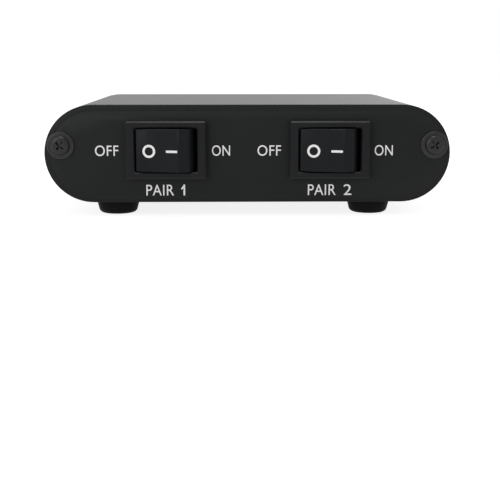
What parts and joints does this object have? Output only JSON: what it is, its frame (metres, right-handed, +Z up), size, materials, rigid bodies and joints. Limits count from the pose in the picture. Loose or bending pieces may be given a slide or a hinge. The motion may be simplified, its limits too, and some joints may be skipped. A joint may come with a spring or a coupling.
{
  "type": "speaker selector switch",
  "caption": "Flat black stadium-section metal box with rocker switches in front and green pluggable screw terminals behind, for switching speaker pairs.",
  "frame": {"origin": "centre of the part's footprint at the underside of the feet", "axes": "+Z up, the switch side faces -Y, the terminal side faces +Y, +X to the right seen from the front"},
  "size_m": [0.106, 0.0862, 0.0292],
  "materials": {
    "case_coat": "satin black coat on extruded aluminium",
    "panel_coat": "matt black coat on flat sheet",
    "black_steel": "black oxide",
    "foot_rubber": "dull black rubber",
    "board_laminate": "green solder mask on glass laminate",
    "switch_frame_plastic": "satin black moulding",
    "rocker_plastic": "satin black moulding",
    "plunger_nylon": "natural nylon",
    "spring_steel": "drawn wire",
    "contact_copper": "copper strip with silver contact",
    "tab_brass": "tinned brass",
    "lead_insulation": "red wire insulation",
    "terminal_green": "moulded green plastic",
    "plug_green": "moulded green plastic",
    "tinned_metal": "bright tin plating",
    "clamp_steel": "zinc plated steel"
  },
  "bodies": {
    "case": {"circuit_board": "board_laminate", "extruded_case": "case_coat", "front_feet": "foot_rubber", "front_panel": "panel_coat", "header_1_pins": "tinned_metal", "header_1_shell": "terminal_green", "header_2_pins": "tinned_metal", "header_2_shell": "terminal_green", "header_3_pins": "tinned_metal", "header_3_shell": "terminal_green", "panel_screws": "black_steel", "panel_washers": "black_steel", "rear_feet": "foot_rubber", "rear_panel": "panel_coat", "switch_1_housing": "switch_frame_plastic", "switch_1_leads": "lead_insulation", "switch_1_terminals": "tab_brass", "switch_2_housing": "switch_frame_plastic", "switch_2_leads": "lead_insulation", "switch_2_terminals": "tab_brass"},
    "plug_1": {"plug_1_body": "plug_green", "plug_1_contacts": "tinned_metal"},
    "plug_1_clamp_screw_1": {"plug_1_clamp_screw_1": "clamp_steel"},
    "plug_1_clamp_screw_2": {"plug_1_clamp_screw_2": "clamp_steel"},
    "plug_1_clamp_screw_3": {"plug_1_clamp_screw_3": "clamp_steel"},
    "plug_1_clamp_screw_4": {"plug_1_clamp_screw_4": "clamp_steel"},
    "plug_1_wire_cage_1": {"plug_1_wire_cage_1": "tinned_metal"},
    "plug_1_wire_cage_2": {"plug_1_wire_cage_2": "tinned_metal"},
    "plug_1_wire_cage_3": {"plug_1_wire_cage_3": "tinned_metal"},
    "plug_1_wire_cage_4": {"plug_1_wire_cage_4": "tinned_metal"},
    "plug_2": {"plug_2_body": "plug_green", "plug_2_contacts": "tinned_metal"},
    "plug_2_clamp_screw_1": {"plug_2_clamp_screw_1": "clamp_steel"},
    "plug_2_clamp_screw_2": {"plug_2_clamp_screw_2": "clamp_steel"},
    "plug_2_clamp_screw_3": {"plug_2_clamp_screw_3": "clamp_steel"},
    "plug_2_clamp_screw_4": {"plug_2_clamp_screw_4": "clamp_steel"},
    "plug_2_wire_cage_1": {"plug_2_wire_cage_1": "tinned_metal"},
    "plug_2_wire_cage_2": {"plug_2_wire_cage_2": "tinned_metal"},
    "plug_2_wire_cage_3": {"plug_2_wire_cage_3": "tinned_metal"},
    "plug_2_wire_cage_4": {"plug_2_wire_cage_4": "tinned_metal"},
    "plug_3": {"plug_3_body": "plug_green", "plug_3_contacts": "tinned_metal"},
    "plug_3_clamp_screw_1": {"plug_3_clamp_screw_1": "clamp_steel"},
    "plug_3_clamp_screw_2": {"plug_3_clamp_screw_2": "clamp_steel"},
    "plug_3_clamp_screw_3": {"plug_3_clamp_screw_3": "clamp_steel"},
    "plug_3_clamp_screw_4": {"plug_3_clamp_screw_4": "clamp_steel"},
    "plug_3_wire_cage_1": {"plug_3_wire_cage_1": "tinned_metal"},
    "plug_3_wire_cage_2": {"plug_3_wire_cage_2": "tinned_metal"},
    "plug_3_wire_cage_3": {"plug_3_wire_cage_3": "tinned_metal"},
    "plug_3_wire_cage_4": {"plug_3_wire_cage_4": "tinned_metal"},
    "switch_1_contact_blades": {"switch_1_contact_blades": "contact_copper"},
    "switch_1_rocker": {"switch_1_plungers": "plunger_nylon", "switch_1_rocker": "rocker_plastic", "switch_1_springs": "spring_steel"},
    "switch_2_contact_blades": {"switch_2_contact_blades": "contact_copper"},
    "switch_2_rocker": {"switch_2_plungers": "plunger_nylon", "switch_2_rocker": "rocker_plastic", "switch_2_springs": "spring_steel"}
  },
  "joints": [
    {"name": "switch_1_rock", "type": "hinge", "parent": "case", "child": "switch_1_rocker", "pos_m": [-0.0213, -0.03636, 0.0176], "axis": [0, 0, 1], "range_deg": [0, 24]},
    {"name": "switch_1_blade_seesaw", "type": "hinge", "parent": "case", "child": "switch_1_contact_blades", "pos_m": [-0.0213, -0.0286, 0.0176], "axis": [0, 0, 1], "range_deg": [-16, 0]},
    {"name": "switch_2_rock", "type": "hinge", "parent": "case", "child": "switch_2_rocker", "pos_m": [0.0213, -0.03636, 0.0176], "axis": [0, 0, 1], "range_deg": [0, 24]},
    {"name": "switch_2_blade_seesaw", "type": "hinge", "parent": "case", "child": "switch_2_contact_blades", "pos_m": [0.0213, -0.0286, 0.0176], "axis": [0, 0, 1], "range_deg": [-16, 0]},
    {"name": "plug_1_pull_out", "type": "slide", "parent": "case", "child": "plug_1", "axis": [0, 1, 0], "range_m": [0, 0.012]},
    {"name": "plug_1_clamp_turn_1", "type": "hinge", "parent": "plug_1", "child": "plug_1_clamp_screw_1", "pos_m": [0.03722, 0.03934, 0.0239], "axis": [0, 0, -1], "range_deg": [0, 1656.1]},
    {"name": "plug_1_cage_lift_1", "type": "slide", "parent": "plug_1", "child": "plug_1_wire_cage_1", "axis": [0, 0, 1], "range_m": [0, 0.0023]},
    {"name": "plug_1_clamp_turn_2", "type": "hinge", "parent": "plug_1", "child": "plug_1_clamp_screw_2", "pos_m": [0.03214, 0.03934, 0.0239], "axis": [0, 0, -1], "range_deg": [0, 1656.1]},
    {"name": "plug_1_cage_lift_2", "type": "slide", "parent": "plug_1", "child": "plug_1_wire_cage_2", "axis": [0, 0, 1], "range_m": [0, 0.0023]},
    {"name": "plug_1_clamp_turn_3", "type": "hinge", "parent": "plug_1", "child": "plug_1_clamp_screw_3", "pos_m": [0.02706, 0.03934, 0.0239], "axis": [0, 0, -1], "range_deg": [0, 1656.1]},
    {"name": "plug_1_cage_lift_3", "type": "slide", "parent": "plug_1", "child": "plug_1_wire_cage_3", "axis": [0, 0, 1], "range_m": [0, 0.0023]},
    {"name": "plug_1_clamp_turn_4", "type": "hinge", "parent": "plug_1", "child": "plug_1_clamp_screw_4", "pos_m": [0.02198, 0.03934, 0.0239], "axis": [0, 0, -1], "range_deg": [0, 1656.1]},
    {"name": "plug_1_cage_lift_4", "type": "slide", "parent": "plug_1", "child": "plug_1_wire_cage_4", "axis": [0, 0, 1], "range_m": [0, 0.0023]},
    {"name": "plug_2_pull_out", "type": "slide", "parent": "case", "child": "plug_2", "axis": [0, 1, 0], "range_m": [0, 0.012]},
    {"name": "plug_2_clamp_turn_1", "type": "hinge", "parent": "plug_2", "child": "plug_2_clamp_screw_1", "pos_m": [0.00762, 0.03934, 0.0239], "axis": [0, 0, -1], "range_deg": [0, 1656.1]},
    {"name": "plug_2_cage_lift_1", "type": "slide", "parent": "plug_2", "child": "plug_2_wire_cage_1", "axis": [0, 0, 1], "range_m": [0, 0.0023]},
    {"name": "plug_2_clamp_turn_2", "type": "hinge", "parent": "plug_2", "child": "plug_2_clamp_screw_2", "pos_m": [0.00254, 0.03934, 0.0239], "axis": [0, 0, -1], "range_deg": [0, 1656.1]},
    {"name": "plug_2_cage_lift_2", "type": "slide", "parent": "plug_2", "child": "plug_2_wire_cage_2", "axis": [0, 0, 1], "range_m": [0, 0.0023]},
    {"name": "plug_2_clamp_turn_3", "type": "hinge", "parent": "plug_2", "child": "plug_2_clamp_screw_3", "pos_m": [-0.00254, 0.03934, 0.0239], "axis": [0, 0, -1], "range_deg": [0, 1656.1]},
    {"name": "plug_2_cage_lift_3", "type": "slide", "parent": "plug_2", "child": "plug_2_wire_cage_3", "axis": [0, 0, 1], "range_m": [0, 0.0023]},
    {"name": "plug_2_clamp_turn_4", "type": "hinge", "parent": "plug_2", "child": "plug_2_clamp_screw_4", "pos_m": [-0.00762, 0.03934, 0.0239], "axis": [0, 0, -1], "range_deg": [0, 1656.1]},
    {"name": "plug_2_cage_lift_4", "type": "slide", "parent": "plug_2", "child": "plug_2_wire_cage_4", "axis": [0, 0, 1], "range_m": [0, 0.0023]},
    {"name": "plug_3_pull_out", "type": "slide", "parent": "case", "child": "plug_3", "axis": [0, 1, 0], "range_m": [0, 0.012]},
    {"name": "plug_3_clamp_turn_1", "type": "hinge", "parent": "plug_3", "child": "plug_3_clamp_screw_1", "pos_m": [-0.02198, 0.03934, 0.0239], "axis": [0, 0, -1], "range_deg": [0, 1656.1]},
    {"name": "plug_3_cage_lift_1", "type": "slide", "parent": "plug_3", "child": "plug_3_wire_cage_1", "axis": [0, 0, 1], "range_m": [0, 0.0023]},
    {"name": "plug_3_clamp_turn_2", "type": "hinge", "parent": "plug_3", "child": "plug_3_clamp_screw_2", "pos_m": [-0.02706, 0.03934, 0.0239], "axis": [0, 0, -1], "range_deg": [0, 1656.1]},
    {"name": "plug_3_cage_lift_2", "type": "slide", "parent": "plug_3", "child": "plug_3_wire_cage_2", "axis": [0, 0, 1], "range_m": [0, 0.0023]},
    {"name": "plug_3_clamp_turn_3", "type": "hinge", "parent": "plug_3", "child": "plug_3_clamp_screw_3", "pos_m": [-0.03214, 0.03934, 0.0239], "axis": [0, 0, -1], "range_deg": [0, 1656.1]},
    {"name": "plug_3_cage_lift_3", "type": "slide", "parent": "plug_3", "child": "plug_3_wire_cage_3", "axis": [0, 0, 1], "range_m": [0, 0.0023]},
    {"name": "plug_3_clamp_turn_4", "type": "hinge", "parent": "plug_3", "child": "plug_3_clamp_screw_4", "pos_m": [-0.03722, 0.03934, 0.0239], "axis": [0, 0, -1], "range_deg": [0, 1656.1]},
    {"name": "plug_3_cage_lift_4", "type": "slide", "parent": "plug_3", "child": "plug_3_wire_cage_4", "axis": [0, 0, 1], "range_m": [0, 0.0023]}
  ],
  "couplings": [
    {"joint": "switch_1_blade_seesaw", "follows": "switch_1_rock", "ratio": -0.66667},
    {"joint": "switch_2_blade_seesaw", "follows": "switch_2_rock", "ratio": -0.66667},
    {"joint": "plug_1_clamp_turn_1", "follows": "plug_1_cage_lift_1", "rad_per_m": 12566},
    {"joint": "plug_1_clamp_turn_2", "follows": "plug_1_cage_lift_2", "rad_per_m": 12566},
    {"joint": "plug_1_clamp_turn_3", "follows": "plug_1_cage_lift_3", "rad_per_m": 12566},
    {"joint": "plug_1_clamp_turn_4", "follows": "plug_1_cage_lift_4", "rad_per_m": 12566},
    {"joint": "plug_2_clamp_turn_1", "follows": "plug_2_cage_lift_1", "rad_per_m": 12566},
    {"joint": "plug_2_clamp_turn_2", "follows": "plug_2_cage_lift_2", "rad_per_m": 12566},
    {"joint": "plug_2_clamp_turn_3", "follows": "plug_2_cage_lift_3", "rad_per_m": 12566},
    {"joint": "plug_2_clamp_turn_4", "follows": "plug_2_cage_lift_4", "rad_per_m": 12566},
    {"joint": "plug_3_clamp_turn_1", "follows": "plug_3_cage_lift_1", "rad_per_m": 12566},
    {"joint": "plug_3_clamp_turn_2", "follows": "plug_3_cage_lift_2", "rad_per_m": 12566},
    {"joint": "plug_3_clamp_turn_3", "follows": "plug_3_cage_lift_3", "rad_per_m": 12566},
    {"joint": "plug_3_clamp_turn_4", "follows": "plug_3_cage_lift_4", "rad_per_m": 12566}
  ]
}
